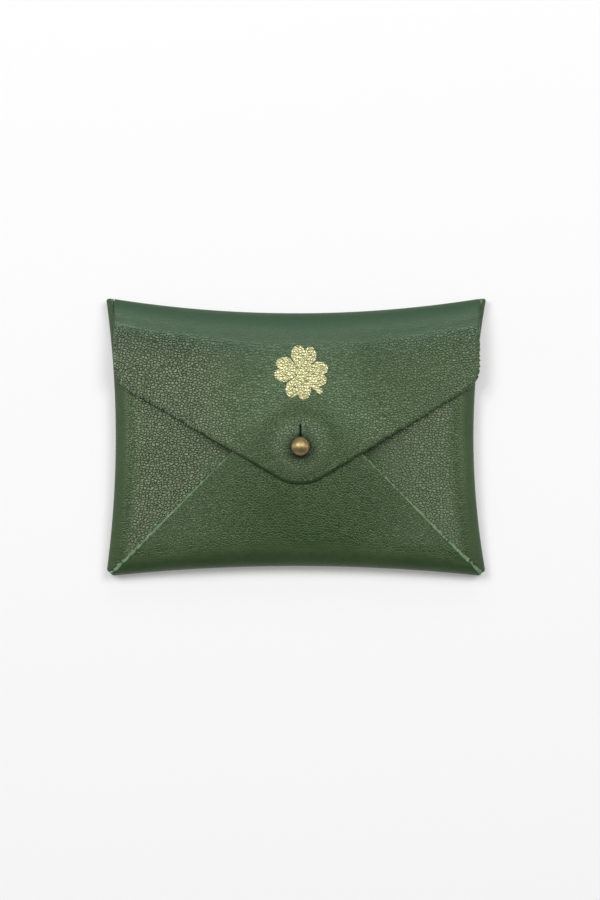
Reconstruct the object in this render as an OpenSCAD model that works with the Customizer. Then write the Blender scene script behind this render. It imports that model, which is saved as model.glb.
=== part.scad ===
// Card holder folded from one leather blank and closed by a button stud.
// It lies on its back: X across the width, +Y towards the top fold, +Z out of
// the front. The origin is the middle of the back's underside. Millimetres.

/* [Overall] */
// Width between the fold corners
holder_w = 108; // [104:1:116]
// Height between the fold corners
holder_h = 79; // [76:1:86]
// Leather thickness
leather_t = 1.2; // [1:0.1:1.4]
// Free depth inside the card pocket
pocket_d = 5.7; // [5:0.1:6.5]

/* [Folds] */
// How far the two side folds bow inward at their middle
side_sag = 3.2; // [2:0.2:4]
// How far the bottom fold bows inward
bottom_sag = 3; // [2:0.2:4]
// How far the top fold bows inward
top_sag = 4.5; // [3:0.5:6]
// Air between the bottom flap and the closing flap above it
flap_gap = 0.3; // [0.2:0.05:0.5]
// How much of each sharp corner the blank loses
corner_cut = 1.6; // [1:0.2:2.4]

/* [Closing flap] */
// Width of the closing flap
flap_w = 104.4; // [102:0.2:105]
// Sideways shift of the closing flap
flap_shift = 0.2; // [-0.4:0.2:0.4]
// Where the straight side edges would meet the sloping ones
shoulder_y = 15.6; // [12:0.2:18]
// Point of the flap before its tip is rounded
apex_y = -15.3; // [-17:0.1:-14]
// Rounding of the flap's two shoulders
shoulder_r = 9; // [6:0.5:12]
// Rounding of the flap's tip
apex_r = 12.5; // [9:0.5:15]

/* [Stud] */
// Sideways position of the stud and of the flap's tip
stud_x = 1.2; // [0:0.1:2]
// Height position of the stud
stud_y = -2.7; // [-4:0.1:-2]
// Radius of the stud's ball
ball_r = 2.85; // [2.6:0.05:3]
// Length of the slit above the flap's button hole
slit_len = 6.2; // [5:0.2:7]

/* [Foil motif] */
// Height position of the clover's middle
clover_y = 18.6; // [18:0.2:20]
// Length of the straight side of one heart-shaped leaf
leaf_side = 4.5; // [4:0.1:4.7]
// Turn of the clover
clover_turn = -8; // [-20:1:20]

/* [Hidden] */
$fn = 96;
half_w = holder_w / 2;
half_h = holder_h / 2;

// Outer radii of the rolled folds. Every flap lies on the one folded before it.
left_r = leather_t + pocket_d / 2;
right_r = left_r + leather_t / 2;
bottom_r = right_r + leather_t / 2;
top_r = bottom_r + (leather_t + flap_gap) / 2;

// Closing flap: its edges, and the roll's middle line where the flap ends
flap_left = flap_shift - flap_w / 2;
flap_right = flap_shift + flap_w / 2;
end_gap = 0.3;

// The two bending lines of the top fold, just outside its rolled leather
hinge_out = (top_r + 0.1) * sqrt(1 / 2);
roll_end_y = half_h - sag_at(half_w, top_sag, flap_right) - top_r;
hinge_y = roll_end_y + hinge_out;
hinge_low_z = top_r - hinge_out;
hinge_high_z = top_r + hinge_out;

// Side folds keep their full depth up to here, then only a tongue is left
tongue_y = roll_end_y - 0.7;

// Stud and screw
stud_base_z = 2 * bottom_r;
flange_r = 3.2;
flange_t = 0.8;
neck_r = 1.6;
ball_z = stud_base_z + 4;
button_hole_r = 3.55;
slit_w = 0.4;
screw_r = 1.2;
screw_bore_r = 1.25;
screw_hole_r = 1.4;
screw_head_r = 3.75;
screw_head_t = 1;
tip_r = 6;
bottom_tip_r = 8;

foil_t = 0.1;
leaf_gap = 0.35;

// Too little to see, but enough to keep arcs off the points they touch
hair = 0.02;

leather_green = [0.22, 0.34, 0.2];
brass = [0.6, 0.5, 0.3];
gold = [0.85, 0.78, 0.45];

// Radius of the circle on which an edge of the given half length bows by sag
function bow_r(half_len, sag) = (half_len * half_len + sag * sag) / (2 * sag);

// How far the bowed edge has left the corner line at distance x from its middle
function sag_at(half_len, sag, x) =
    let (r = bow_r(half_len, sag)) sqrt(r * r - x * x) - r + sag;

// Distance along the corner's 45 degree line to the inner end of a rolled fold
function mitre_reach(half_len, sag, roll_r) =
    let (r = bow_r(half_len, sag), b = r - sag - half_len)
    (sqrt(b * b + 4 * r * roll_r + 2 * roll_r * roll_r) - b) / 2;

// Point where a line from p touches the circle at c; side is 1 or -1
function touch_point(p, c, r, side) =
    let (d = p - c, a = atan2(d.y, d.x) + side * acos(r / norm(d)))
    c + r * [cos(a), sin(a)];

function unit(v) = v / norm(v);

// Tangent length and circle centre of the rounding of corner p between a and b
function corner_angle(p, a, b) = acos(unit(a - p) * unit(b - p));
function corner_run(p, a, b, r) = r / tan(corner_angle(p, a, b) / 2);
function corner_centre(p, a, b, r) =
    p + unit(unit(a - p) + unit(b - p)) * r / sin(corner_angle(p, a, b) / 2);

// Convex outline with a radius on every corner; radius 0 keeps the corner. The
// arcs are drawn a hair small, so that they cross the outline cleanly.
module rounded_outline(points, radii) {
    n = len(points);
    polygon([for (i = [0:n - 1])
        let (p = points[i], a = points[(i + n - 1) % n], b = points[(i + 1) % n], r = radii[i])
        each r == 0 ? [p] : [p + unit(a - p) * corner_run(p, a, b, r),
                             p + unit(b - p) * corner_run(p, a, b, r)]]);
    for (i = [0:n - 1])
        if (radii[i] > 0)
            translate(corner_centre(points[i], points[(i + n - 1) % n],
                                    points[(i + 1) % n], radii[i]))
                circle(r = radii[i] - hair);
}

// Plan area outside the middle line of a roll whose bowed edge faces -Y, with
// the edge's corners at y = edge_y
module beyond_roll(half_len, sag, roll_r, edge_y) {
    r = bow_r(half_len, sag);
    translate([0, edge_y + sag - r]) circle(r = r + roll_r, $fn = 720);
}

// Half-round fold rolled up along the same bowed edge
module rolled_fold(half_len, sag, roll_r, edge_y) {
    r = bow_r(half_len, sag);
    translate([0, edge_y + sag - r, 0])
        rotate_extrude($fn = 720)
            difference() {
                translate([r + roll_r, roll_r]) circle(r = roll_r);
                translate([r + roll_r, roll_r]) circle(r = roll_r - leather_t);
                translate([r + roll_r, -1]) square(2 * roll_r + 2);
            }
}

// Keeps what lies over a plan outline
module keep_over() {
    intersection() {
        children(0);
        translate([0, 0, -1]) linear_extrude(2 * top_r + 2) children(1);
    }
}

// The diamond that takes the sharp tips off the four corners
module corner_diamond() {
    reach = half_w + half_h - corner_cut;
    polygon([[-reach, 0], [0, -reach], [reach, 0], [0, reach]]);
}

// Plan wedge of the bottom fold, between the two 45 degree mitre lines
module bottom_wedge() {
    polygon([[-half_w - 1, -half_h - 1], [half_w + 1, -half_h - 1], [0, half_w - half_h]]);
}

// Plan area of the left fold: mitred at its lower end, a tongue at its upper
// end that passes outside the closing flap's edge at x = flap_edge
module side_zone(flap_edge) {
    inner = -half_w + 12;
    tongue_x = flap_edge - end_gap;
    polygon([[-half_w - 1, -half_h - 1], [inner, -half_h + 12], [inner, tongue_y],
             [tongue_x, tongue_y], [tongue_x, half_h - half_w - tongue_x],
             [-half_w - 1, half_h + 1]]);
}

// One side flap, drawn as the left one
module side_flap(roll_r, flap_edge, tip_x) {
    tip = [tip_x, stud_y];
    reach = mitre_reach(half_h, side_sag, roll_r);
    low = [reach - half_w, reach - half_h];
    high = [sag_at(half_h, side_sag, tongue_y) + roll_r - half_w, tongue_y];
    keep_over() {
        rotate(-90) rolled_fold(half_h, side_sag, roll_r, -half_w);
        intersection() {
            side_zone(flap_edge);
            corner_diamond();
        }
    }
    translate([0, 0, 2 * roll_r - leather_t])
        linear_extrude(leather_t)
            difference() {
                union() {
                    polygon([[-half_w, tongue_y], high, touch_point(high, tip, tip_r, -1),
                             touch_point(low, tip, tip_r, 1), low, [-half_w, -half_h]]);
                    translate(tip) circle(r = tip_r - hair);
                }
                rotate(-90) beyond_roll(half_h, side_sag, roll_r, -half_w);
                translate(tip) circle(r = screw_hole_r);
            }
}

module left_side_flap() {
    color(leather_green) side_flap(left_r, flap_left, stud_x);
}

module right_side_flap() {
    color(leather_green) mirror([1, 0, 0]) side_flap(right_r, -flap_right, -stud_x);
}

// Flap folded up from the bottom edge over both side flaps
module bottom_flap() {
    color(leather_green)
        difference() {
            keep_over() {
                union() {
                    rolled_fold(half_w, bottom_sag, bottom_r, -half_h);
                    translate([0, 0, 2 * bottom_r - leather_t])
                        linear_extrude(leather_t)
                            difference() {
                                translate([-half_w, -half_h]) square([holder_w, holder_h]);
                                beyond_roll(half_w, bottom_sag, bottom_r, -half_h);
                            }
                }
                intersection() {
                    rounded_outline([[-half_w - 1, -half_h - 1], [half_w + 1, -half_h - 1],
                                     [0, half_w - half_h]], [0, 0, bottom_tip_r]);
                    corner_diamond();
                }
            }
            translate([stud_x, stud_y, bottom_r]) cylinder(h = 2 * top_r, r = screw_hole_r);
        }
}

// The part of the rolled top fold whose cross-section lies in an outline that
// is given as [y, z] points
module top_fold_part(zone) {
    intersection() {
        rotate(180) rolled_fold(half_w, top_sag, top_r, -half_h);
        translate([flap_left, 0, 0])
            rotate([90, 0, 90]) linear_extrude(flap_w) polygon(zone);
    }
}

// Plan area outside the middle line of the top roll
module beyond_top() {
    rotate(180) beyond_roll(half_w, top_sag, top_r, -half_h);
}

// Back of the holder, up to the lower bending line of the top fold
module back_panel() {
    far_y = half_h + 9;
    color(leather_green) {
        linear_extrude(leather_t)
            difference() {
                union() {
                    difference() {
                        translate([-half_w, -half_h]) square([holder_w, half_h + tongue_y]);
                        rotate(-90) beyond_roll(half_h, side_sag, left_r, -half_w);
                        rotate(90) beyond_roll(half_h, side_sag, right_r, -half_w);
                    }
                    translate([flap_left, tongue_y]) square([flap_w, half_h - tongue_y]);
                }
                intersection() {
                    bottom_wedge();
                    beyond_roll(half_w, bottom_sag, bottom_r, -half_h);
                }
                beyond_top();
            }
        top_fold_part([[0, -1], [far_y, -1], [far_y, hinge_low_z], [hinge_y, hinge_low_z],
                       [roll_end_y, top_r], [0, top_r]]);
    }
}

// Middle of the rolled top fold, between its two bending lines
module fold_spine() {
    far_y = half_h + 9;
    color(leather_green)
        top_fold_part([[roll_end_y, top_r], [hinge_y, hinge_low_z], [far_y, hinge_low_z],
                       [far_y, hinge_high_z], [hinge_y, hinge_high_z]]);
}

// Pointed closing flap with its keyhole, from the upper bending line on
module closing_flap() {
    far_y = half_h + 9;
    color(leather_green) {
        top_fold_part([[0, 2 * top_r + 1], [far_y, 2 * top_r + 1], [far_y, hinge_high_z],
                       [hinge_y, hinge_high_z], [roll_end_y, top_r], [0, top_r]]);
        translate([0, 0, 2 * top_r - leather_t])
            linear_extrude(leather_t)
                difference() {
                    rounded_outline([[flap_left, half_h], [flap_left, shoulder_y],
                                     [stud_x, apex_y], [flap_right, shoulder_y],
                                     [flap_right, half_h]],
                                    [0, shoulder_r, apex_r, shoulder_r, 0]);
                    beyond_top();
                    translate([stud_x, stud_y]) circle(r = button_hole_r);
                    translate([stud_x - slit_w / 2, stud_y]) square([slit_w, slit_len]);
                }
    }
}

// One heart-shaped leaf pointing up from its root at the origin
module leaf() {
    s = leaf_side * sqrt(1 / 2);
    translate([0, leaf_gap]) {
        polygon([[0, 0], [s, s], [0, 1.4 * s], [-s, s]]);
        for (side = [-1, 1])
            translate([side * s / 2, 1.5 * s]) circle(r = leaf_side / 2);
    }
}

// Four-leaf clover of thin foil on the closing flap
module foil_clover() {
    color(gold)
        translate([stud_x + 0.3, clover_y, 2 * top_r])
            rotate(clover_turn)
                linear_extrude(foil_t) {
                    for (i = [0:3])
                        rotate(90 * i) leaf();
                    circle(r = 2 * leaf_gap);
                    rotate(-42) polygon([[0, 0.4], [0, -0.4], [8, -0.9], [8, 0.9]]);
                }
}

// Button stud: flange on the bottom flap, neck and ball
module stud_button() {
    color(brass)
        translate([stud_x, stud_y, 0])
            difference() {
                union() {
                    translate([0, 0, stud_base_z]) cylinder(h = flange_t, r = flange_r);
                    translate([0, 0, stud_base_z]) cylinder(h = ball_z - stud_base_z, r = neck_r);
                    translate([0, 0, ball_z]) sphere(r = ball_r);
                }
                translate([0, 0, stud_base_z - 1]) cylinder(h = 5, r = screw_bore_r);
            }
}

// Slotted screw that holds the stud from inside the pocket
module stud_screw() {
    head_z = 2 * left_r - leather_t - screw_head_t;
    color(brass)
        translate([stud_x, stud_y, head_z])
            difference() {
                union() {
                    cylinder(h = screw_head_t, r = screw_head_r);
                    cylinder(h = stud_base_z + 3.5 - head_z, r = screw_r);
                }
                translate([-0.4, -screw_head_r - 1, -1])
                    cube([0.8, 2 * screw_head_r + 2, 1.5]);
            }
}

back_panel();
left_side_flap();
right_side_flap();
bottom_flap();
fold_spine();
closing_flap();
foil_clover();
stud_button();
stud_screw();
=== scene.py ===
"""A green leather card holder: one blank folded like an envelope and closed by a brass ball stud.

Lengths are millimetres in the shape functions and metres in the scene. The holder lies on its
back, +Y is its top fold and +Z points out of its front.
"""

import math

import bpy
import numpy as np
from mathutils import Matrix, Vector
from mathutils.geometry import delaunay_2d_cdt


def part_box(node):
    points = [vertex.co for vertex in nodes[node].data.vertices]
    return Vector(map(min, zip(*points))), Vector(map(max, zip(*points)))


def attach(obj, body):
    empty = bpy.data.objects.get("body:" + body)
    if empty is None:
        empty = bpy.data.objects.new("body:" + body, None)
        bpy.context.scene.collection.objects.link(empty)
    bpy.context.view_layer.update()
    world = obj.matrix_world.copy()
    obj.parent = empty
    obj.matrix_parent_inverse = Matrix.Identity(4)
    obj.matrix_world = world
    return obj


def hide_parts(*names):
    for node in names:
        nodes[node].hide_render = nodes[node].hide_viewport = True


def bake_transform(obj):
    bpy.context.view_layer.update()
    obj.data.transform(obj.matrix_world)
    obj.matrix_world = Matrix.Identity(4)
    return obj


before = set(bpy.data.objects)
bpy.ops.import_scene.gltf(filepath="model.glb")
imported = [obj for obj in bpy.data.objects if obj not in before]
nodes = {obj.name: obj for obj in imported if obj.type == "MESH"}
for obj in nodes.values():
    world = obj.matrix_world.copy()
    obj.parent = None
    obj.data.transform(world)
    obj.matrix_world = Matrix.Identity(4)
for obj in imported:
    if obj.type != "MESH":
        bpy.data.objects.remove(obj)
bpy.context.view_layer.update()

MM = 0.001


def box_mm(node):
    """Lowest and highest corner of a CAD node, in millimetres."""
    low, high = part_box(node)
    return np.array(low) / MM, np.array(high) / MM


# ---------------------------------------------------------------- sizes taken from the frame

flap_low, flap_high = box_mm("closing_flap")
left_high = box_mm("left_side_flap")[1]
right_high = box_mm("right_side_flap")[1]
bottom_low = box_mm("bottom_flap")[0]
stud_low, stud_high = box_mm("stud_button")
clover_low, clover_high = box_mm("foil_clover")

THICK = 1.2
LAYER = THICK + 0.05              # pitch of leather lying on leather
HALF_W = right_high[0] + 0.6      # to the sharp corners of the folds
HALF_H = -bottom_low[1] + 0.5
STUD = (stud_low[:2] + stud_high[:2]) / 2
CLOVER = (clover_low[:2] + clover_high[:2]) / 2 - (0, 0.3)    # where its leaves meet
FLAP_LEFT = flap_low[0]
FLAP_RIGHT = flap_high[0]
BACK_MID_Z = THICK / 2
POCKET = left_high[2] - 2 * THICK  # free depth of the pocket at the stud
CORNER_CUT = 2.3                  # how much of each folded corner's tip is snipped off
MITRE_GAP = 0.12                  # between two rolls that meet at a corner
WEDGE_TOP = HALF_W - HALF_H       # where the bottom flap's two 45 degree edges would meet
FOIL_LIFT = 0.03                  # foil above the grain
UV_PER_MM = 0.01                  # scale of the pieces' flat UV maps
SHARP_ANGLE = math.radians(50)    # edges bent further than this are not shaded smooth
GRAIN, FLESH, CUT = range(3)      # material slots of a leather piece


# ---------------------------------------------------------------- small maths

def smooth(x, start, end):
    """0 before start, 1 after end, smooth in between; start may be above end."""
    t = np.clip((np.asarray(x, float) - start) / (end - start), 0, 1)
    return t * t * (3 - 2 * t)


def turn(degrees):
    """Matrix that turns plan points anticlockwise."""
    a = math.radians(degrees)
    return np.array([[math.cos(a), -math.sin(a)], [math.sin(a), math.cos(a)]])


# ---------------------------------------------------------------- heights of the front layers

def pillow(x, y):
    """Crown of the full pocket: highest in the middle, lowest at the four corners."""
    run_out, flatness = 5, 0.36
    across = np.clip(1 - (x / (HALF_W + run_out)) ** 2, 0.02, 1)
    along = np.clip(1 - (y / (HALF_H + run_out)) ** 2, 0.02, 1)
    return (across * along) ** flatness


PILLOW_AT_STUD = pillow(*STUD)


def ripple(x, y):
    """The slow unevenness of worn leather."""
    return (0.16 * np.sin(x / 9.0 + 1.3) * np.cos(y / 11.0 + 0.4)
            + 0.09 * np.sin(x / 5.1 - y / 7.3 + 2.0))


def pocket_front(x, y):
    """Mid-surface of a flap that lies straight on the pocket."""
    fade = smooth(np.hypot(x - STUD[0], y - STUD[1]), 4, 12)
    return THICK * 1.5 + POCKET * pillow(x, y) / PILLOW_AT_STUD + fade * ripple(x, y)


def lift_right(x, y):
    """The right flap climbs onto the left flap's tip."""
    return LAYER * smooth(x, 15, 9)


def tip_pile(x, y):
    """1 where both side flaps lie on each other round the stud."""
    return smooth(np.hypot(x - STUD[0] - 1.5, y - STUD[1]), 36, 9)


def lift_bottom(x, y):
    """The bottom flap lies on one side flap, or on both round the stud."""
    return LAYER * (1 + tip_pile(x, y))


def lift_closing(x, y):
    """The closing flap follows the bottom flap under it and clears the stud's flange."""
    outside = (np.abs(x) + y - WEDGE_TOP) / math.sqrt(2)
    cover = smooth(outside, 22, -3.0)
    from_stud = np.hypot(x - STUD[0], y - STUD[1])
    flange = 0.63 * smooth(from_stud, 10, 3.4)
    dent = -0.12 * np.exp(-((from_stud - 7.5) / 3.0) ** 2)
    lips = 0.4 * np.exp(-(((x - STUD[0]) / 1.7) ** 2 + ((y - STUD[1] - 4.6) / 2.2) ** 2))
    loose = 0.1
    return loose + LAYER * (1 + cover * (1 + tip_pile(x, y))) + flange + dent + lips


def no_lift(x, y):
    """The left flap lies straight on the pocket."""
    return 0 * x


# ---------------------------------------------------------------- folds

class Fold:
    """A rolled edge and the flap behind it.

    In the fold's own plan the edge faces -b and a runs along it. u is a, and v is the distance
    along the leather: 0 where the roll ends and the flap begins, -length where the back begins.

    degrees turns that plan into the scene. half and depth are the corner's distances along and
    across, and sag is how far the edge bows inward. roll_mid and roll_end are how far the roll
    stands out in the middle and at the corners. lift(x, y) is the leather under the flap.
    """

    def __init__(self, degrees, half, depth, sag, roll_mid, roll_end, length, lift):
        self.to_world_matrix = turn(degrees)
        self.half = half
        self.depth = depth
        self.sag = sag
        self.roll_mid = roll_mid
        self.roll_end = roll_end
        self.length = length
        self.lift = lift

    def world(self, a, b):
        m = self.to_world_matrix
        return m[0, 0] * a + m[0, 1] * b, m[1, 0] * a + m[1, 1] * b

    def plan(self, x, y):
        m = self.to_world_matrix
        return m[0, 0] * x + m[1, 0] * y, m[0, 1] * x + m[1, 1] * y

    def reach(self, a):
        """How far the roll's mid-surface stands out past its middle line."""
        return self.roll_mid + (self.roll_end - self.roll_mid) * (a / self.half) ** 2

    def middle(self, a):
        """b of the roll's middle line."""
        edge = -self.depth + self.sag * (1 - (a / self.half) ** 2)
        return edge + THICK / 2 + self.reach(a)

    def flat(self, x, y):
        """u and v of plan points on the flap."""
        a, b = self.plan(np.asarray(x, float), np.asarray(y, float))
        return a, b - self.middle(a)

    def flat_back(self, x, y):
        """u and v of plan points on the back."""
        a, b = self.plan(np.asarray(x, float), np.asarray(y, float))
        return a, -self.length - (b - self.middle(a))

    def front(self, x, y):
        return pocket_front(x, y) + self.lift(x, y)

    def point(self, u, v):
        """Mid-surface point of the flat point u, v."""
        middle = self.middle(u)
        phi = np.clip(-v / self.length, 0, 1) * math.pi
        b = np.where(v >= 0, middle + v, middle - self.reach(u) * np.sin(phi))
        b = np.where(v <= -self.length, middle - self.length - v, b)
        x, y = self.world(u, b)
        front = self.front(x, y)
        centre = (self.front(*self.world(u, middle)) + BACK_MID_Z) / 2
        upper = centre + (front - centre) * np.cos(phi)
        lower = centre + (centre - BACK_MID_Z) * np.cos(phi)
        z = np.where(phi < math.pi / 2, upper, lower)
        return np.stack([x, y, z], axis=-1)

    def normal(self, u, v):
        """Unit normal on the grain side."""
        e = 0.05
        along = self.point(u + e, v) - self.point(u - e, v)
        inward = self.point(u, v + e) - self.point(u, v - e)
        n = np.cross(along, inward)
        return n / np.linalg.norm(n, axis=-1, keepdims=True)

    def mitre(self, phi, end, tuck=0.0):
        """u where the roll stops at the corner's 45 degree line, at the roll angle phi.

        tuck is how far the upper leather carries on under the neighbouring flap.
        """
        gap = MITRE_GAP - tuck * float(smooth(phi, math.pi * 0.6, 0.2))
        u = self.half - 5.0
        for _ in range(8):
            inward = self.middle(u) - self.reach(u) * math.sin(phi) + self.depth
            u = min(self.half - inward - gap, self.half - CORNER_CUT + inward)
        return end * u


bottom_fold = Fold(degrees=0, half=HALF_W, depth=HALF_H, sag=3.0,
                   roll_mid=4.4, roll_end=2.9, length=15.0, lift=lift_bottom)
left_fold = Fold(degrees=-90, half=HALF_H, depth=HALF_W, sag=2.8,
                 roll_mid=3.6, roll_end=2.6, length=12.0, lift=no_lift)
right_fold = Fold(degrees=90, half=HALF_H, depth=HALF_W, sag=3.7,
                  roll_mid=3.8, roll_end=2.6, length=12.5, lift=lift_right)
top_fold = Fold(degrees=180, half=HALF_W, depth=HALF_H, sag=4.5,
                roll_mid=5.6, roll_end=4.8, length=17.5, lift=lift_closing)


# ---------------------------------------------------------------- outlines

def arc_corner(corner, before, after, radius, steps=14):
    """Points that round the corner between two neighbours."""
    corner, before, after = (np.array(p, float) for p in (corner, before, after))
    p = (before - corner) / np.linalg.norm(before - corner)
    q = (after - corner) / np.linalg.norm(after - corner)
    half = math.acos(np.clip(p @ q, -1, 1)) / 2
    run = radius / math.tan(half)
    centre = corner + (p + q) / np.linalg.norm(p + q) * radius / math.sin(half)
    start, end = corner + p * run - centre, corner + q * run - centre
    points = []
    for i in range(steps + 1):
        mix = start * (1 - i / steps) + end * i / steps
        points.append(centre + mix / np.linalg.norm(mix) * radius)
    return points


def dense(points, step=0.6):
    """The open polyline with points at most step apart."""
    out = [np.array(points[0], float)]
    for p, q in zip(points[:-1], points[1:]):
        p, q = np.array(p, float), np.array(q, float)
        n = max(1, int(math.ceil(np.linalg.norm(q - p) / step)))
        out += [p + (q - p) * i / n for i in range(1, n + 1)]
    return out


def flat_path(fold, plan_points):
    """Plan points on the front, dense, as flat u, v points."""
    pts = np.array(dense(plan_points))
    u, v = fold.flat(pts[:, 0], pts[:, 1])
    return list(zip(u, v))


def roll_phis(start, end, steps=16):
    return [start + (end - start) * i / steps for i in range(steps + 1)]


def mitre_end(fold, end, start, stop, tuck=0.0):
    """The roll's end at a mitred corner, between two roll angles."""
    return [(fold.mitre(phi, end, tuck), -phi / math.pi * fold.length)
            for phi in roll_phis(start, stop)]


def touch(p, centre, radius, side):
    """Where a line from p touches a circle."""
    d = np.array(p) - centre
    a = math.atan2(d[1], d[0]) + side * math.acos(radius / np.hypot(*d))
    return centre + radius * np.array([math.cos(a), math.sin(a)])


def arc_between(p, q, centre, side, steps=24):
    """Arc about centre from p to q, round the tip of a side flap."""
    a = math.atan2(*(p - centre)[::-1])
    b = math.atan2(*(q - centre)[::-1])
    if side > 0 and b < a:
        b += 2 * math.pi
    if side < 0 and b > a:
        b -= 2 * math.pi
    radius = np.linalg.norm(p - centre)
    return [centre + radius * np.array([math.cos(t), math.sin(t)])
            for t in np.linspace(a, b, steps)]


BOTTOM_APEX_RADIUS = 8


def bottom_outline():
    """The bottom flap: a roll mitred at both corners and a blunt wedge."""
    fold = bottom_fold
    start = fold.world(fold.mitre(0, -1), fold.middle(fold.mitre(0, -1)))
    end = fold.world(fold.mitre(0, 1), fold.middle(fold.mitre(0, 1)))
    apex = (0, WEDGE_TOP - 0.5)
    plate = [start, *arc_corner(apex, start, end, BOTTOM_APEX_RADIUS), end]
    return (mitre_end(fold, -1, math.pi, 0) + flat_path(fold, plate)[1:]
            + mitre_end(fold, 1, 0, math.pi)[1:])


TONGUE_START = HALF_H - 7.2    # y from which a side roll runs up beside the closing flap
TONGUE_TIP = HALF_H - 0.3
TUCK = 0.8                     # how far a side flap carries on under the bottom flap
SIDE_TIP_RADIUS = 6.0          # of a side flap's end, round the stud


def side_outline(fold, side, closing_edge):
    """A side flap from its mitred lower corner round the stud to the tongue at the top.

    side is -1 for the left flap and 1 for the right one; closing_edge is x of the closing
    flap's edge, which the tongue stays clear of.
    """
    low_end = -side
    corner_u = fold.mitre(0, low_end, TUCK)
    low = fold.world(corner_u, fold.middle(corner_u))
    top_u = side * TONGUE_START
    high = fold.world(top_u, fold.middle(top_u))
    tip_low = touch(low, STUD, SIDE_TIP_RADIUS, -side)
    tip_high = touch(high, STUD, SIDE_TIP_RADIUS, side)
    tip = arc_between(tip_low, tip_high, STUD, -side)
    plate = [low, *tip, high]
    ends = []
    for phi in roll_phis(0, math.pi, 36):
        reach = fold.reach(TONGUE_TIP) * math.sin(phi)
        x = abs(fold.world(0, fold.middle(TONGUE_TIP) - reach)[0])
        clear = x - abs(closing_edge) - (0.3 if phi < math.pi / 2 else 0.1)
        tip_y = TONGUE_START + (TONGUE_TIP - TONGUE_START) * float(smooth(clear, 0.0, 0.3))
        ends.append((side * tip_y, -phi / math.pi * fold.length))
    return mitre_end(fold, low_end, math.pi, 0, TUCK) + flat_path(fold, plate)[1:] + ends


SHOULDER_Y = 15.6
SHOULDER_RADIUS = 8
APEX_Y = -15.3
APEX_RADIUS = 12.5


def closing_outline():
    """The pointed closing flap and the upper half of the top roll."""
    fold = top_fold
    shoulders = [(FLAP_LEFT, SHOULDER_Y), (FLAP_RIGHT, SHOULDER_Y)]
    apex = (STUD[0], APEX_Y)
    tops = [(x, -fold.middle(-x)) for x in (FLAP_LEFT, FLAP_RIGHT)]
    plate = [tops[0], *arc_corner(shoulders[0], tops[0], apex, SHOULDER_RADIUS),
             *arc_corner(apex, shoulders[0], shoulders[1], APEX_RADIUS),
             *arc_corner(shoulders[1], apex, tops[1], SHOULDER_RADIUS), tops[1]]
    half_roll = fold.length / 2
    rise = [(-FLAP_LEFT, -half_roll * (1 - i / 10)) for i in range(10)]
    fall = [(-FLAP_RIGHT, -half_roll * i / 10) for i in range(1, 11)]
    seam = dense([(-FLAP_RIGHT, -half_roll), (-FLAP_LEFT, -half_roll)])[1:-1]
    return rise + flat_path(fold, plate) + fall + [tuple(p) for p in seam]


def back_outline():
    """Back of the holder and the lower half of the top roll, in the top fold's flat plan."""
    fold = top_fold
    half_roll = fold.length / 2

    def side_line(side_fold, y_from, y_to):
        ys = np.linspace(y_from, y_to, 80)
        us = side_fold.plan(0 * ys, ys)[0]
        return list(zip(*side_fold.world(us, side_fold.middle(us))))

    xs = np.linspace(-HALF_W, HALF_W, 120)
    bottom_line = list(zip(xs, bottom_fold.middle(xs)))
    left_line = side_line(left_fold, TONGUE_START, -HALF_H)
    right_line = side_line(right_fold, -HALF_H, TONGUE_START)
    left_part = [p for p in left_line if p[1] > bottom_fold.middle(p[0])]
    right_part = [p for p in right_line if p[1] > bottom_fold.middle(p[0])]
    bottom_part = [p for p in bottom_line
                   if left_part[-1][0] < p[0] < right_part[0][0]]
    neck = [(FLAP_RIGHT, TONGUE_START), (FLAP_RIGHT, -fold.middle(-FLAP_RIGHT))]
    start = [(FLAP_LEFT, -fold.middle(-FLAP_LEFT)), (FLAP_LEFT, TONGUE_START)]
    plan = np.array(dense(start + left_part + bottom_part + right_part + neck))
    u, v = fold.flat_back(plan[:, 0], plan[:, 1])
    v = np.minimum(v, -fold.length)
    n = 9
    rise = [(-FLAP_RIGHT, -fold.length + half_roll * i / n) for i in range(1, n + 1)]
    seam = dense([(-FLAP_RIGHT, -half_roll), (-FLAP_LEFT, -half_roll)])[1:-1]
    fall = [(-FLAP_LEFT, -half_roll - half_roll * i / n) for i in range(n)]
    return list(zip(u, v)) + rise + [tuple(p) for p in seam] + fall


def keyhole():
    """Button hole and its slit, as flat points of the closing flap."""
    radius, slit, top = 2.15, 0.14, 6.4
    start = math.asin(slit / radius)
    points = [(STUD[0] + radius * math.sin(a), STUD[1] + radius * math.cos(a))
              for a in np.linspace(start, 2 * math.pi - start, 30)]
    ys = np.linspace(2.4, top - 0.5, 8)
    open_by = slit + 0.35 * smooth(ys, 3.9, 2.6)
    points += [(STUD[0] - w, STUD[1] + y) for w, y in zip(open_by, ys)]
    points += [(STUD[0], STUD[1] + top)]
    points += [(STUD[0] + w, STUD[1] + y) for w, y in zip(open_by[::-1], ys[::-1])]
    u, v = top_fold.flat(*np.array(points).T)
    return list(zip(u, v))


def screw_hole(fold):
    """Hole for the stud's screw, as flat points of a side or bottom flap."""
    radius = 1.3
    points = [(STUD[0] + radius * math.cos(a), STUD[1] + radius * math.sin(a))
              for a in np.linspace(0, 2 * math.pi, 20, endpoint=False)]
    u, v = fold.flat(*np.array(points).T)
    return list(zip(u, v))


# ---------------------------------------------------------------- meshes

def inside(points, loop):
    """Which points lie inside a closed loop."""
    x, y = points[:, 0], points[:, 1]
    result = np.zeros(len(points), bool)
    p, q = loop, np.roll(loop, -1, axis=0)
    for (x0, y0), (x1, y1) in zip(p, q):
        if y0 == y1:
            continue
        crosses = (y0 > y) != (y1 > y)
        result ^= crosses & (x < x0 + (y - y0) * (x1 - x0) / (y1 - y0))
    return result


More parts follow.
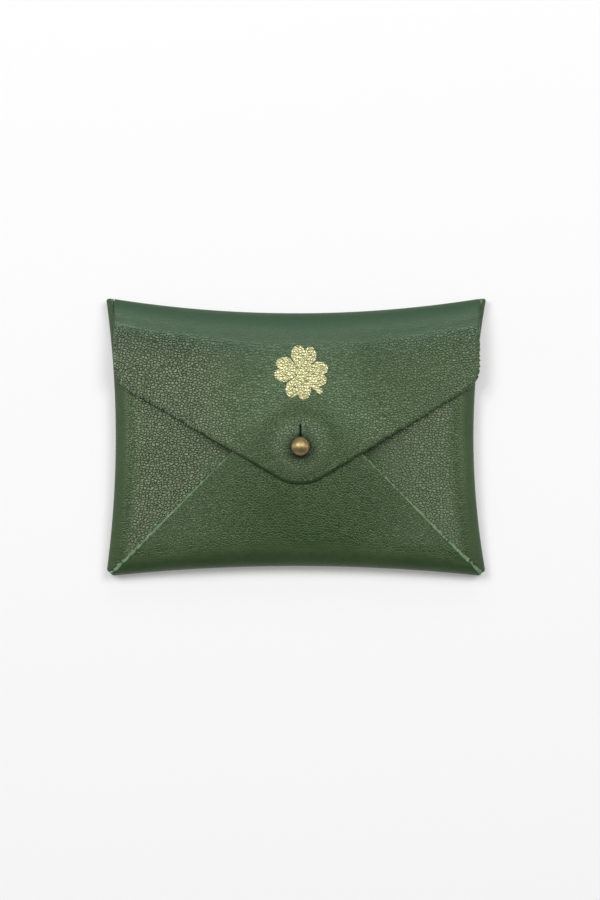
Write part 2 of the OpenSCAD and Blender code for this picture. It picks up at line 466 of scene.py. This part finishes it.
def nearest(points, others):
    """Distance from each point to the nearest of the others."""
    best = np.full(len(points), 1e9)
    for i in range(0, len(others), 200):
        d = np.linalg.norm(points[:, None] - others[None, i:i + 200], axis=-1).min(axis=1)
        best = np.minimum(best, d)
    return best


def flat_mesh(loops, step, wanted):
    """Triangles of the flat points for which wanted(points) holds, with the loops as edges."""
    loops = [np.array(loop, float) for loop in loops]
    edge_points = np.concatenate(loops)
    low, high = edge_points.min(axis=0), edge_points.max(axis=0)
    rows = np.arange(low[1], high[1], step * 0.866)
    lattice = np.array([(u + (i % 2) * step / 2, v) for i, v in enumerate(rows)
                        for u in np.arange(low[0], high[0], step)])
    lattice = lattice[wanted(lattice)]
    lattice = lattice[nearest(lattice, edge_points) > step * 0.55]
    points = np.concatenate([edge_points, lattice])
    edges, start = [], 0
    for loop in loops:
        n = len(loop)
        edges += [(start + i, start + (i + 1) % n) for i in range(n)]
        start += n
    result = delaunay_2d_cdt([Vector(p) for p in points], edges, [], 0, 1e-5)
    flat = np.array([tuple(p) for p in result[0]])
    triangles = np.array([f for f in result[2] if len(f) == 3])
    triangles = triangles[wanted(flat[triangles].mean(axis=1))]
    area = doubled_areas(flat, triangles)
    triangles[area < 0] = triangles[area < 0][:, ::-1]
    used = np.unique(triangles)
    renumber = np.zeros(len(flat), int)
    renumber[used] = np.arange(len(used))
    return flat[used], renumber[triangles]


def doubled_areas(flat, triangles):
    """Twice the signed area of each triangle."""
    a, b, c = (flat[triangles[:, i]] for i in range(3))
    return (b - a)[:, 0] * (c - a)[:, 1] - (b - a)[:, 1] * (c - a)[:, 0]


def triangulate(loops, step):
    """Flat mesh inside the first loop and outside the others."""
    def wanted(points):
        keep = inside(points, np.array(loops[0]))
        for hole in loops[1:]:
            keep &= ~inside(points, np.array(hole))
        return keep
    return flat_mesh(loops, step, wanted)


def triangulate_union(loops, step):
    """Flat mesh inside any of the loops."""
    return flat_mesh(loops, step, lambda points: np.any([inside(points, p) for p in loops], axis=0))


def boundary_chains(triangles):
    """Directed boundary edges, each with the mesh on its left."""
    seen = set()
    for t in triangles:
        for i in range(3):
            seen.add((t[i], t[(i + 1) % 3]))
    return [(a, b) for a, b in seen if (b, a) not in seen]


class Edge:
    """How a cut edge looks, from the grain side down to the flesh side.

    profile has rows of distance out and height in half thicknesses. Its first grain_rows strips
    still belong to the grain side. fray(u, v) is its roughness, width(u, v) widens it.
    """

    def __init__(self, profile, grain_rows=0, fray=None, width=None):
        self.profile = profile
        self.grain_rows = grain_rows
        self.fray = fray or (lambda u, v: 0.05 + 0 * u)
        self.width = width or (lambda u, v: 1 + 0 * u)


RAW = [(-0.34, 1.0), (-0.14, 0.72), (-0.03, 0.2), (0.0, -0.5), (-0.08, -1.0)]
TURNED_DOWN = [(-0.75, 1.0), (-0.36, 0.88), (-0.12, 0.6), (0.0, 0.1), (-0.06, -1.0)]

plain_edge = Edge(RAW)
turned_edge = Edge(TURNED_DOWN, 2)
ragged_edge = Edge(RAW, 0, lambda u, v: 0.12 + 0.07 * smooth(np.abs(u), 20, 50),
                   lambda u, v: 1.2 + 1.6 * smooth(np.abs(u), 22, 50))
flap_edge = Edge(TURNED_DOWN, 3, lambda u, v: 0.03 + 0.09 * smooth(-u, 6, 18))


# how much deeper the grain gets towards the holder's left and right side
GRAIN_AT_SIDES = {top_fold: (1.0, 0.4), left_fold: (1.0, 1.0), right_fold: (0.7, 0.7),
                  bottom_fold: (0.3, 0.3)}


def grain_depth(fold, u, v):
    """Deepest towards the holder's sides and round the stud, and stretched flat on the rolls."""
    x, y = np.moveaxis(fold.point(u, v)[..., :2], -1, 0)
    at_left, at_right = GRAIN_AT_SIDES[fold]
    sides = smooth(-x, 8, 34) * at_left + smooth(x, 10, 38) * at_right
    ring = np.exp(-((np.hypot(x - STUD[0], y - STUD[1]) - 6.0) / 2.5) ** 2)
    rolled = smooth(v, 4.5, -2.5) * smooth(v, -fold.length - 3, -fold.length + 1.5)
    pulled = smooth(taut_sheen(fold, u, v), 0.6, 1.0)
    flattened = (1 - 0.88 * rolled) * (1 - 0.9 * pulled)
    return np.minimum(0.42 + 0.58 * sides + 0.3 * ring, 1) * flattened


def taut_sheen(fold, u, v):
    """Where the grain is pulled tight, over the top roll and beside the slit: the grain lies flat
    there, and a bluish sheen is painted on.
    """
    if fold is not top_fold:
        return 0 * u
    roll = smooth(v, 12.0, -2.0) * smooth(v, -fold.length * 0.6, -fold.length * 0.3)
    x, y = fold.world(u, fold.middle(u) + v)
    lips = np.exp(-((x - STUD[0]) / 1.9) ** 4 - ((y - STUD[1] - 4.3) / 2.2) ** 4) * (v > 0)
    return np.maximum(roll, lips)


def painted_stud_shade(fold, u, v):
    """Painted shade on the leather round the button hole."""
    if fold is not top_fold:
        return 0 * u
    x, y = fold.world(u, fold.middle(u) + v)
    return smooth(np.hypot(x - STUD[0], y - STUD[1] + 0.4), 5.2, 2.6) * (v > 0)


def new_mesh(name, points, faces, flat, fold):
    """A smooth mesh. Its UV map is the flat points, turned the way the blank lies."""
    mesh = bpy.data.meshes.new(name)
    mesh.from_pydata((points * MM).tolist(), [], faces)
    mesh.polygons.foreach_set("use_smooth", [True] * len(faces))
    uv = mesh.uv_layers.new(name="flat")
    loop_vertex = np.zeros(len(mesh.loops), np.int32)
    mesh.loops.foreach_get("vertex_index", loop_vertex)
    on_blank = flat @ fold.to_world_matrix.T
    uv.data.foreach_set("uv", (on_blank[loop_vertex] * UV_PER_MM).ravel())
    return mesh


def new_object(name, data):
    obj = bpy.data.objects.new(name, data)
    bpy.context.collection.objects.link(obj)
    return obj


def add_attribute(mesh, name, values):
    attribute = mesh.attributes.new(name, "FLOAT", "POINT")
    attribute.data.foreach_set("value", np.asarray(values, np.float32))


def edge_directions(flat, chains):
    """Unit vectors that point out of the sheet at its edge points, and which points those are."""
    outward = np.zeros_like(flat)
    for i, j in chains:
        d = flat[j] - flat[i]
        side = np.array([d[1], -d[0]]) / max(np.hypot(*d), 1e-9)
        outward[i] += side
        outward[j] += side
    length = np.linalg.norm(outward, axis=1)
    on_edge = length > 1e-9
    outward[on_edge] /= length[on_edge][:, None]
    return outward, on_edge


def sheet_faces(triangles, chains, rim, total, edge):
    """Faces of the grain side, the flesh side and the edge between them, and their slots."""
    place = {v: k for k, v in enumerate(rim)}
    strips = len(edge.profile) - 1
    rings = [total + k * len(rim) for k in range(strips - 1)]
    below = total + (strips - 1) * len(rim)
    faces = [tuple(t) for t in triangles] + [tuple(below + t[::-1]) for t in triangles]
    slots = [GRAIN] * len(triangles) + [FLESH] * len(triangles)
    for i, j in chains:
        down_i = [i] + [ring + place[i] for ring in rings] + [below + i]
        down_j = [j] + [ring + place[j] for ring in rings] + [below + j]
        for k in range(strips):
            faces.append((down_i[k], down_i[k + 1], down_j[k + 1], down_j[k]))
            slots.append(GRAIN if k < edge.grain_rows else CUT)
    return faces, slots


NICK_SHARE = 0.06    # of the edge points, cut deeper than the rest
NICK_DEPTH = 3       # in units of the edge's roughness


def leather(name, fold, loops, joined, rng_seed, edge=plain_edge, step=0.95):
    """A leather piece with a grain side, a flesh side and raw edges.

    joined(u, v) says which edge points carry on into the next piece and stay square.
    """
    rng = np.random.default_rng(rng_seed)
    flat, triangles = triangulate(loops, step)
    chains = boundary_chains(triangles)
    outward, on_edge = edge_directions(flat, chains)
    free = on_edge & ~joined(flat[:, 0], flat[:, 1])
    rough = rng.normal(0, 1, len(flat)) - NICK_DEPTH * (rng.random(len(flat)) < NICK_SHARE)
    rough *= edge.fray(flat[:, 0], flat[:, 1])
    widen = edge.width(flat[:, 0], flat[:, 1])

    def layer(out, height):
        """The flat points folded into place, for one row of the edge's profile."""
        shift = np.where(free, out * widen + rough * (abs(height) < 1), 0)
        at = flat + outward * shift[:, None]
        p = fold.point(at[:, 0], at[:, 1])
        n = fold.normal(at[:, 0], at[:, 1])
        return p + n * height * THICK / 2

    top, *middle, bottom = edge.profile
    rim = np.nonzero(on_edge)[0]
    points = [layer(*top), *(layer(*row)[rim] for row in middle), layer(*bottom)]
    everywhere = np.arange(len(flat))
    source = np.concatenate([everywhere, *[rim] * len(middle), everywhere])
    faces, slots = sheet_faces(triangles, chains, rim, len(flat), edge)
    mesh = new_mesh(name, np.concatenate(points), faces, flat[source], fold)
    mesh.polygons.foreach_set("material_index", slots)
    mesh.set_sharp_from_angle(angle=SHARP_ANGLE)
    u, v = flat[source].T
    add_attribute(mesh, "pebble", grain_depth(fold, u, v))
    add_attribute(mesh, "sheen", taut_sheen(fold, u, v))
    add_attribute(mesh, "stud_shade", painted_stud_shade(fold, u, v))
    mesh.update()
    return new_object(name, mesh)


def joined_at_back(fold):
    """A side or bottom piece carries on into the back where its roll ends."""
    return lambda u, v: v < -fold.length + 0.02


def joined_back_panel(u, v):
    """The back carries on into the side and bottom rolls and, at mid-roll, into the flap."""
    y = top_fold.world(u, top_fold.middle(u) - top_fold.length - v)[1]
    onto_flap = v > -top_fold.length / 2 - 0.02
    return onto_flap | ((v < -top_fold.length) & (y < TONGUE_START + 0.01))


def joined_closing(u, v):
    """The closing flap carries on into the back at mid-roll."""
    return v < -top_fold.length / 2 + 0.02


leather_back = leather("leather_back", top_fold, [back_outline()], joined_back_panel, 1)
leather_left = leather("leather_left_flap", left_fold,
                       [side_outline(left_fold, -1, FLAP_LEFT), screw_hole(left_fold)],
                       joined_at_back(left_fold), 2, turned_edge)
leather_right = leather("leather_right_flap", right_fold,
                        [side_outline(right_fold, 1, FLAP_RIGHT), screw_hole(right_fold)],
                        joined_at_back(right_fold), 3, turned_edge)
leather_bottom = leather("leather_bottom_flap", bottom_fold,
                         [bottom_outline(), screw_hole(bottom_fold)],
                         joined_at_back(bottom_fold), 4, ragged_edge)
leather_closing = leather("leather_closing_flap", top_fold, [closing_outline(), keyhole()],
                          joined_closing, 5, flap_edge)


# ---------------------------------------------------------------- foil clover

def heart(turned, scale):
    """Outline of one heart-shaped leaf with its root in the clover's middle."""
    lobe_x, lobe_y = 1.65, 4.9
    half_width, half_height = 1.85, 2.5
    lobe = [(lobe_x + half_width * math.cos(a), lobe_y + half_height * math.sin(a))
            for a in np.radians(np.linspace(-30, 150, 20))]
    notch = [(0, lobe_y + half_height * math.sqrt(1 - (lobe_x / half_width) ** 2))]
    mirrored = [(-x, y) for x, y in lobe[::-1]]
    return np.array([(0, 0)] + lobe + notch + mirrored) * scale @ turn(turned).T


def stem():
    """The clover's short stem, wider at its end."""
    middle = [(0.5 + 7.6 * t, -0.5 * math.sin(math.pi * t * 0.9)) for t in np.linspace(0, 1, 9)]
    width = [0.4 + 0.42 * t for t in np.linspace(0, 1, 9)]
    upper = [(x, y + w) for (x, y), w in zip(middle, width)]
    lower = [(x, y - w) for (x, y), w in zip(middle, width)]
    return np.array(upper + lower[::-1]) @ turn(-44).T


def leaf_roots():
    """Where the four leaves run into each other, least between the left and the bottom one."""
    reach = [2.4, 3.2, 2.4, 3.0, 2.4, 1.4, 2.4, 3.0]
    return np.array([(r * math.cos(math.radians(45 * i - 8)), r * math.sin(math.radians(45 * i - 8)))
                     for i, r in enumerate(reach)])


def clover():
    """The foil motif: one thin patch pressed onto the closing flap."""
    outlines = [heart(-8, 1.01), heart(81, 1.01), heart(170, 1.02), heart(-96, 0.99),
                leaf_roots(), stem()]
    loops = []
    for outline in outlines:
        plan = outline + CLOVER
        loops.append(np.stack(top_fold.flat(plan[:, 0], plan[:, 1]), axis=-1))
    flat, triangles = triangulate_union(loops, 0.45)
    top = (top_fold.point(flat[:, 0], flat[:, 1])
           + top_fold.normal(flat[:, 0], flat[:, 1]) * (THICK / 2 + FOIL_LIFT))
    return new_object("gold_clover", new_mesh("gold_clover", top, triangles.tolist(), flat, top_fold))


gold_clover = clover()


# ---------------------------------------------------------------- materials

class Shader:
    """A short way to write a node tree."""

    def __init__(self, name):
        self.material = bpy.data.materials.new(name)
        self.material.use_nodes = True
        self.tree = self.material.node_tree
        self.surface = self.tree.nodes["Principled BSDF"]

    def node(self, kind, inputs=None, **settings):
        made = self.tree.nodes.new(kind)
        for key, value in settings.items():
            setattr(made, key, value)
        for key, value in (inputs or {}).items():
            self.put(made.inputs[key], value)
        return made

    def put(self, socket, value):
        if isinstance(value, bpy.types.NodeSocket):
            self.tree.links.new(value, socket)
        elif isinstance(value, bpy.types.Node):
            self.tree.links.new(value.outputs[0], socket)
        else:
            socket.default_value = value

    def math(self, operation, a, b=0.0, c=0.0):
        made = self.node("ShaderNodeMath", operation=operation)
        for socket, value in zip(made.inputs, (a, b, c)):
            self.put(socket, value)
        return made.outputs[0]

    def ramp(self, value, low, high, out_low=0.0, out_high=1.0):
        return self.node("ShaderNodeMapRange", {
            "Value": value, "From Min": low, "From Max": high,
            "To Min": out_low, "To Max": out_high}, interpolation_type="SMOOTHSTEP").outputs[0]

    def mix(self, factor, a, b):
        """Mix two colours; the node's colour sockets come after those of its other types."""
        made = self.node("ShaderNodeMix", data_type="RGBA")
        for place, value in ((0, factor), (6, a), (7, b)):
            self.put(made.inputs[place], value)
        return made.outputs[2]

    def flat_mm(self, turned=0.0, stretch=(1, 1, 1)):
        """Flat leather coordinates, in millimetres."""
        uv = self.node("ShaderNodeUVMap", uv_map="flat")
        return self.node("ShaderNodeMapping", {
            "Vector": uv.outputs[0], "Scale": tuple(s / UV_PER_MM for s in stretch),
            "Rotation": (0, 0, math.radians(turned))}).outputs[0]

    def attribute(self, name):
        return self.node("ShaderNodeAttribute", attribute_name=name).outputs["Fac"]

    def noise(self, vector, scale, detail=3.0, rough=0.55):
        return self.node("ShaderNodeTexNoise", {
            "Vector": vector, "Scale": scale, "Detail": detail,
            "Roughness": rough}).outputs[0]

    def bump(self, height, distance, strength=1.0, normal=None):
        inputs = {"Height": height, "Distance": distance * MM, "Strength": strength}
        if normal is not None:
            inputs["Normal"] = normal
        return self.node("ShaderNodeBump", inputs).outputs[0]

    def set(self, **values):
        for key, value in values.items():
            self.put(self.surface.inputs[key.replace("_", " ")], value)
        return self.material


GRAIN_DARK = (0.020, 0.045, 0.012, 1)
GRAIN_LIGHT = (0.031, 0.063, 0.018, 1)
# painted highlight on the pebble tops
PEBBLE_HIGHLIGHT = (0.185, 0.232, 0.142, 1)
PAINTED_TEAL_SHEEN = (0.025, 0.064, 0.037, 1)
# painted shade for the grain's creases and round the stud
CREASE_SHADE = (0.008, 0.018, 0.005, 1)


def pebbles(shader, where):
    """Height of the leather's pebbled grain."""
    wobble = shader.node("ShaderNodeTexNoise", {"Vector": where, "Scale": 0.9, "Detail": 2.0})
    shift = shader.node("ShaderNodeVectorMath", {0: wobble.outputs["Color"],
                                                 1: (0.5, 0.5, 0.5)}, operation="SUBTRACT")
    moved = shader.node("ShaderNodeVectorMath", {0: shift.outputs[0], "Scale": 0.9},
                        operation="SCALE")
    bent = shader.node("ShaderNodeVectorMath", {0: where, 1: moved.outputs[0]}, operation="ADD")
    cells = shader.node("ShaderNodeTexVoronoi", {
        "Vector": bent.outputs[0], "Scale": 1.3, "Randomness": 0.9},
        voronoi_dimensions="2D", feature="DISTANCE_TO_EDGE")
    small = shader.node("ShaderNodeTexVoronoi", {
        "Vector": bent.outputs[0], "Scale": 3.0, "Randomness": 1.0},
        voronoi_dimensions="2D", feature="SMOOTH_F1")
    domes = shader.ramp(cells.outputs["Distance"], 0.0, 0.24)
    fine = shader.math("MULTIPLY", shader.ramp(small.outputs["Distance"], 0.1, 0.7, 1, 0), 0.35)
    return shader.math("ADD", domes, fine)


def grain_leather():
    s = Shader("green_grain_leather")
    where = s.flat_mm()
    pebble = s.attribute("pebble")
    sheen = s.attribute("sheen")
    stud_shade = s.attribute("stud_shade")
    grain = pebbles(s, s.flat_mm(4, (0.8, 1.05, 1)))
    patches = s.noise(where, 0.07, 3)
    coarse = s.noise(where, 0.45, 4)
    tone = s.math("ADD", s.math("MULTIPLY", patches, 0.6), s.math("MULTIPLY", coarse, 0.4))
    colour = s.mix(s.ramp(tone, 0.3, 0.7), GRAIN_DARK, GRAIN_LIGHT)
    # painted highlight: the pebble tops are lightened where the grain is deep, mostly towards the
    # sides
    pebble_highlight = s.math("MULTIPLY", s.ramp(pebble, 0.4, 1.0), s.ramp(grain, 0.2, 1.1, 0.2, 0.9))
    colour = s.mix(pebble_highlight, colour, PEBBLE_HIGHLIGHT)
    # painted sheen: a bluish reflection painted over the top roll and beside the slit
    colour = s.mix(s.math("MULTIPLY", sheen, 0.8), colour, PAINTED_TEAL_SHEEN)
    # painted shade: the grain's creases are darkened, most where the grain is deepest
    crease_and_stud_shade = s.math("MULTIPLY", s.ramp(grain, 0.0, 0.6, 0.8, 0.0), s.math("POWER", pebble, 1.5))
    # painted shade: the leather round the button hole is darkened as if shaded by the stud
    crease_and_stud_shade = s.math("MAXIMUM", crease_and_stud_shade, s.math("MULTIPLY", stud_shade, 0.55))
    colour = s.mix(crease_and_stud_shade, colour, CREASE_SHADE)
    wrinkle = s.noise(s.flat_mm(20, (0.35, 1, 1)), 0.5, 3)
    depth = s.math("MULTIPLY_ADD", pebble, pebble, 0.08)
    strength = s.math("MULTIPLY", depth, s.ramp(patches, 0.25, 0.75, 0.7, 1.0))
    normal = s.bump(wrinkle, 0.16, 0.5)
    normal = s.bump(s.math("MULTIPLY", grain, strength), 0.24, 1.0, normal)
    normal = s.bump(s.noise(where, 5.0, 2), 0.02, 0.5, normal)
    rough = s.math("ADD", s.ramp(grain, 0.2, 1.2, 0.44, 0.29), s.ramp(coarse, 0.3, 0.7, -0.03, 0.03))
    rough = s.math("ADD", rough, s.ramp(pebble, 0.05, 0.4, 0.18, 0.0))
    return s.set(Base_Color=colour, Roughness=rough, Normal=normal, IOR=1.5,
                 Specular_IOR_Level=0.8, Specular_Tint=(0.80, 1.0, 0.70, 1))


def flesh_leather():
    s = Shader("green_suede_side")
    where = s.flat_mm()
    nap = s.noise(where, 2.5, 5, 0.7)
    colour = s.mix(s.ramp(nap, 0.3, 0.7), (0.075, 0.125, 0.06, 1), (0.12, 0.19, 0.10, 1))
    blotch = s.noise(where, 0.12, 3)
    colour = s.mix(s.ramp(blotch, 0.35, 0.7, 0, 0.35), colour, (0.10, 0.15, 0.09, 1))
    return s.set(Base_Color=colour, Roughness=0.95, Normal=s.bump(nap, 0.12, 0.8))


def edge_leather():
    s = Shader("raw_cut_edge")
    where = s.flat_mm()
    fibres = s.noise(where, 3.0, 4, 0.7)
    colour = s.mix(s.ramp(fibres, 0.3, 0.7), (0.09, 0.17, 0.08, 1), (0.24, 0.35, 0.21, 1))
    return s.set(Base_Color=colour, Roughness=0.9, Normal=s.bump(fibres, 0.12, 1.0))


def gold_foil():
    s = Shader("cracked_gold_foil")
    where = s.flat_mm()
    grain = pebbles(s, where)
    wear = s.noise(where, 2.2, 4, 0.7)
    cracks = s.math("MULTIPLY", s.ramp(grain, 0.16, 0.02), s.ramp(wear, 0.42, 0.6))
    colour = s.mix(s.ramp(wear, 0.3, 0.75), (0.72, 0.66, 0.27, 1), (1.0, 0.97, 0.70, 1))
    lines = s.noise(s.flat_mm(12, (0.5, 2.4, 1)), 1.3, 3, 0.6)
    colour = s.mix(s.ramp(lines, 0.51, 0.59, 0.0, 0.85), colour, (0.22, 0.22, 0.05, 1))
    colour = s.mix(cracks, colour, (0.12, 0.14, 0.04, 1))
    normal = s.bump(grain, 0.15, 1.0)
    normal = s.bump(wear, 0.08, 0.7, normal)
    metallic = s.math("SUBTRACT", 0.85, s.math("MULTIPLY", cracks, 0.8))
    return s.set(Base_Color=colour, Roughness=0.42, Metallic=metallic, Normal=normal)


def antique_brass_with_painted_shade():
    s = Shader("antique_brass_with_painted_shade")
    where = s.node("ShaderNodeTexCoord").outputs["Object"]
    small = s.node("ShaderNodeMapping", {"Vector": where, "Scale": (1000, 1000, 1000)}).outputs[0]
    cloud = s.noise(small, 0.8, 4)
    colour = s.mix(s.ramp(cloud, 0.3, 0.7), (0.38, 0.28, 0.13, 1), (0.52, 0.41, 0.21, 1))
    height = s.node("ShaderNodeSeparateXYZ", {0: small}).outputs["Z"]
    # painted shade: the ball's lower part is painted dark brown, as if shaded and mirroring the dark
    # leather, and made rougher and less metallic
    low = s.ramp(height, stud_high[2] - 1.3, stud_high[2] - 1.9)
    colour = s.mix(low, colour, (0.07, 0.03, 0.018, 1))
    scuff = s.noise(small, 3.5, 4, 0.65)
    rough = s.math("ADD", s.ramp(scuff, 0.3, 0.7, 0.40, 0.5), s.math("MULTIPLY", low, 0.3))
    metallic = s.math("SUBTRACT", 1.0, s.math("MULTIPLY", low, 0.85))
    return s.set(Base_Color=colour, Roughness=rough, Metallic=metallic,
                 Normal=s.bump(scuff, 0.03, 0.4))


grain_side, flesh_side, cut_edge = grain_leather(), flesh_leather(), edge_leather()
leather_pieces = (leather_back, leather_left, leather_right, leather_bottom, leather_closing)
for piece in leather_pieces:
    for material in (grain_side, flesh_side, cut_edge):
        piece.data.materials.append(material)
gold_clover.data.materials.append(gold_foil())
brass = antique_brass_with_painted_shade()
for name in ("stud_button", "stud_screw"):
    nodes[name].data.materials.clear()
    nodes[name].data.materials.append(brass)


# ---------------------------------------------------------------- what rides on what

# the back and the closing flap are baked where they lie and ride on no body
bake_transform(leather_back)
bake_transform(leather_closing)
for piece in (leather_left, leather_right, leather_bottom):
    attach(piece, "pouch")
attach(gold_clover, "flap")


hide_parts("back_panel", "fold_spine")
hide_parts("left_side_flap")
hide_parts("right_side_flap")
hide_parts("bottom_flap")
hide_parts("closing_flap")
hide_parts("foil_clover")


# ---------------------------------------------------------------- floor, light, camera

def make_floor():
    """A wide pale table top, a hair under the holder's back."""
    bpy.ops.mesh.primitive_plane_add(size=12, location=(0, 0, -0.0002))
    floor = bpy.context.object
    floor.name = "floor"
    s = Shader("pale_floor")
    s.set(Base_Color=(0.80, 0.79, 0.795, 1), Roughness=0.9)
    s.put(s.surface.inputs["Emission Color"], (1.0, 0.985, 0.99, 1))
    s.put(s.surface.inputs["Emission Strength"], 0.23)
    floor.data.materials.append(s.material)


def soft_light(name, place, width, height, watts, colour=(1, 1, 1)):
    """A softbox that faces the holder."""
    data = bpy.data.lights.new(name, "AREA")
    data.shape = "RECTANGLE"
    data.size = width
    data.size_y = height
    data.energy = watts
    data.color = colour
    lamp = new_object(name, data)
    lamp.location = place
    lamp.rotation_euler = (-Vector(place)).to_track_quat("-Z", "Y").to_euler()
    return lamp


make_floor()
soft_light("overhead_box", (0.0, 0.5, 1.5), 1.2, 0.6, watts=4)
soft_light("left_box", (-0.85, 0.62, 1.5), 0.9, 0.8, watts=14)
soft_light("right_box", (0.85, 0.62, 1.5), 0.9, 0.8, watts=12)
soft_light("window", (0.0, 1.65, 0.9), 2.4, 0.6, watts=3, colour=(0.6, 1.0, 0.95))
left_strip = soft_light("left_strip", (-1.3, 0.1, 0.42), 0.25, 0.35, watts=1.6)
right_strip = soft_light("right_strip", (1.3, 0.0, 0.42), 0.25, 0.35, watts=1.2)
for strip in (left_strip, right_strip):
    strip.visible_diffuse = False    # they only draw highlights on brass, foil and grain

world = bpy.data.worlds.new("studio")
world.use_nodes = True
world.node_tree.nodes["Background"].inputs["Color"].default_value = (1, 1, 1, 1)
world.node_tree.nodes["Background"].inputs["Strength"].default_value = 0.15
bpy.context.scene.world = world

FRAME_HEIGHT = 0.255             # what the picture's long side shows of the holder's front
FRONT_HEIGHT = 0.012
AIM = (0.0011, -0.0037)          # the holder lies a little off the picture's middle
camera_data = bpy.data.cameras.new("camera")
camera_data.lens = 150
camera = new_object("camera", camera_data)
camera_height = FRAME_HEIGHT * camera_data.lens / camera_data.sensor_width
camera.location = (*AIM, camera_height + FRONT_HEIGHT)
bpy.context.scene.camera = camera
bpy.context.scene.view_settings.view_transform = "Standard"
